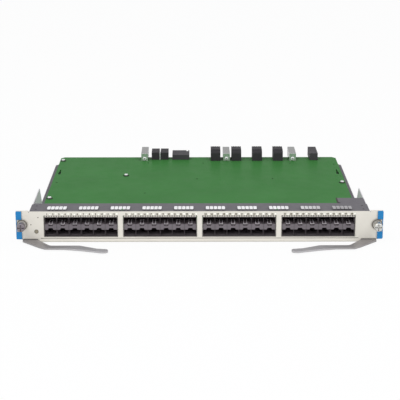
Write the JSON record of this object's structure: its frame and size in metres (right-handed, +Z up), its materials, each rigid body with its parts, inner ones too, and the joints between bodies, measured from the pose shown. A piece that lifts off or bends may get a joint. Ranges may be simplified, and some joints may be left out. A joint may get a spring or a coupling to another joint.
{
  "type": "switch line card",
  "caption": "Slide-in network line card: stacked pluggable-module ports in the front panel, a bare board on a tray, ejector levers and captive screws.",
  "frame": {"origin": "middle of the tray's underside", "axes": "+Z up out of the tray, +Y towards the backplane connectors, +X to the right seen from the front"},
  "size_m": [0.431, 0.4267, 0.0391],
  "materials": {
    "panel_paint": "fine satin off-white powder coat",
    "cap_blue": "moulded satin blue",
    "bright_steel": "bright rolled sheet",
    "lever_steel": "satin plated sheet",
    "screw_steel": "turned and plated",
    "spring_steel": "bright spring strip",
    "cage_metal": "plated thin sheet",
    "dark_sheet": "dark grey plated sheet",
    "board_green": "glossy solder mask",
    "black_plastic": "moulded, fine grain",
    "guide_metal": "bright machined",
    "lens": "clear smoked lens"
  },
  "bodies": {
    "card": {"front_panel": "panel_paint", "left_end_cap": "cap_blue", "left_side_plate": "bright_steel", "left_lever_pivot": "bright_steel", "left_ferrule": "screw_steel", "left_screw_spring": "spring_steel", "right_end_cap": "cap_blue", "right_side_plate": "bright_steel", "right_lever_pivot": "bright_steel", "right_ferrule": "screw_steel", "right_screw_spring": "spring_steel", "port_cage_1": "cage_metal", "cage_dividers_1": "cage_metal", "cage_separators_1": "cage_metal", "cage_collar_1": "spring_steel", "port_connectors_1": "black_plastic", "port_cage_2": "cage_metal", "cage_dividers_2": "cage_metal", "cage_separators_2": "cage_metal", "cage_collar_2": "spring_steel", "port_connectors_2": "black_plastic", "port_cage_3": "cage_metal", "cage_dividers_3": "cage_metal", "cage_separators_3": "cage_metal", "cage_collar_3": "spring_steel", "port_connectors_3": "black_plastic", "port_cage_4": "cage_metal", "cage_dividers_4": "cage_metal", "cage_separators_4": "cage_metal", "cage_collar_4": "spring_steel", "port_connectors_4": "black_plastic", "tray": "dark_sheet", "circuit_board": "board_green", "board_standoffs": "bright_steel", "board_screws": "screw_steel", "top_shield": "dark_sheet", "contact_clips": "spring_steel", "corner_bracket": "dark_sheet", "signal_connector_1": "black_plastic", "signal_connector_2": "black_plastic", "signal_connector_3": "black_plastic", "signal_connector_4": "black_plastic", "guide_block_1": "guide_metal", "guide_block_2": "guide_metal", "guide_block_3": "guide_metal", "power_connector": "black_plastic", "wide_connector": "black_plastic", "end_connector": "black_plastic", "status_lens": "lens"},
    "left_lever": {"left_ejector_lever": "lever_steel"},
    "left_screw_ring": {"left_retaining_ring": "screw_steel"},
    "left_screw": {"left_captive_screw": "screw_steel"},
    "right_lever": {"right_ejector_lever": "lever_steel"},
    "right_screw_ring": {"right_retaining_ring": "screw_steel"},
    "right_screw": {"right_captive_screw": "screw_steel"}
  },
  "joints": [
    {"name": "left_lever_turn", "type": "hinge", "parent": "card", "child": "left_lever", "pos_m": [-0.199, -0.1655, 0.0024], "axis": [0, 0, -1], "range_deg": [0, 50]},
    {"name": "left_screw_slide", "type": "slide", "parent": "card", "child": "left_screw_ring", "axis": [0, 1, 0], "range_m": [0, 0.0045], "stiffness_N_per_m": 300, "springref_m": -0.003, "deforming": ["left_screw_spring"]},
    {"name": "left_screw_spin", "type": "hinge", "parent": "left_screw_ring", "child": "left_screw", "pos_m": [-0.2085, -0.1765, 0.0215], "axis": [0, 1, 0], "continuous": true},
    {"name": "right_lever_turn", "type": "hinge", "parent": "card", "child": "right_lever", "pos_m": [0.199, -0.1655, 0.0024], "axis": [0, 0, 1], "range_deg": [0, 50]},
    {"name": "right_screw_slide", "type": "slide", "parent": "card", "child": "right_screw_ring", "axis": [0, 1, 0], "range_m": [0, 0.0045], "stiffness_N_per_m": 300, "springref_m": -0.003, "deforming": ["right_screw_spring"]},
    {"name": "right_screw_spin", "type": "hinge", "parent": "right_screw_ring", "child": "right_screw", "pos_m": [0.2085, -0.1765, 0.0215], "axis": [0, 1, 0], "continuous": true}
  ]
}
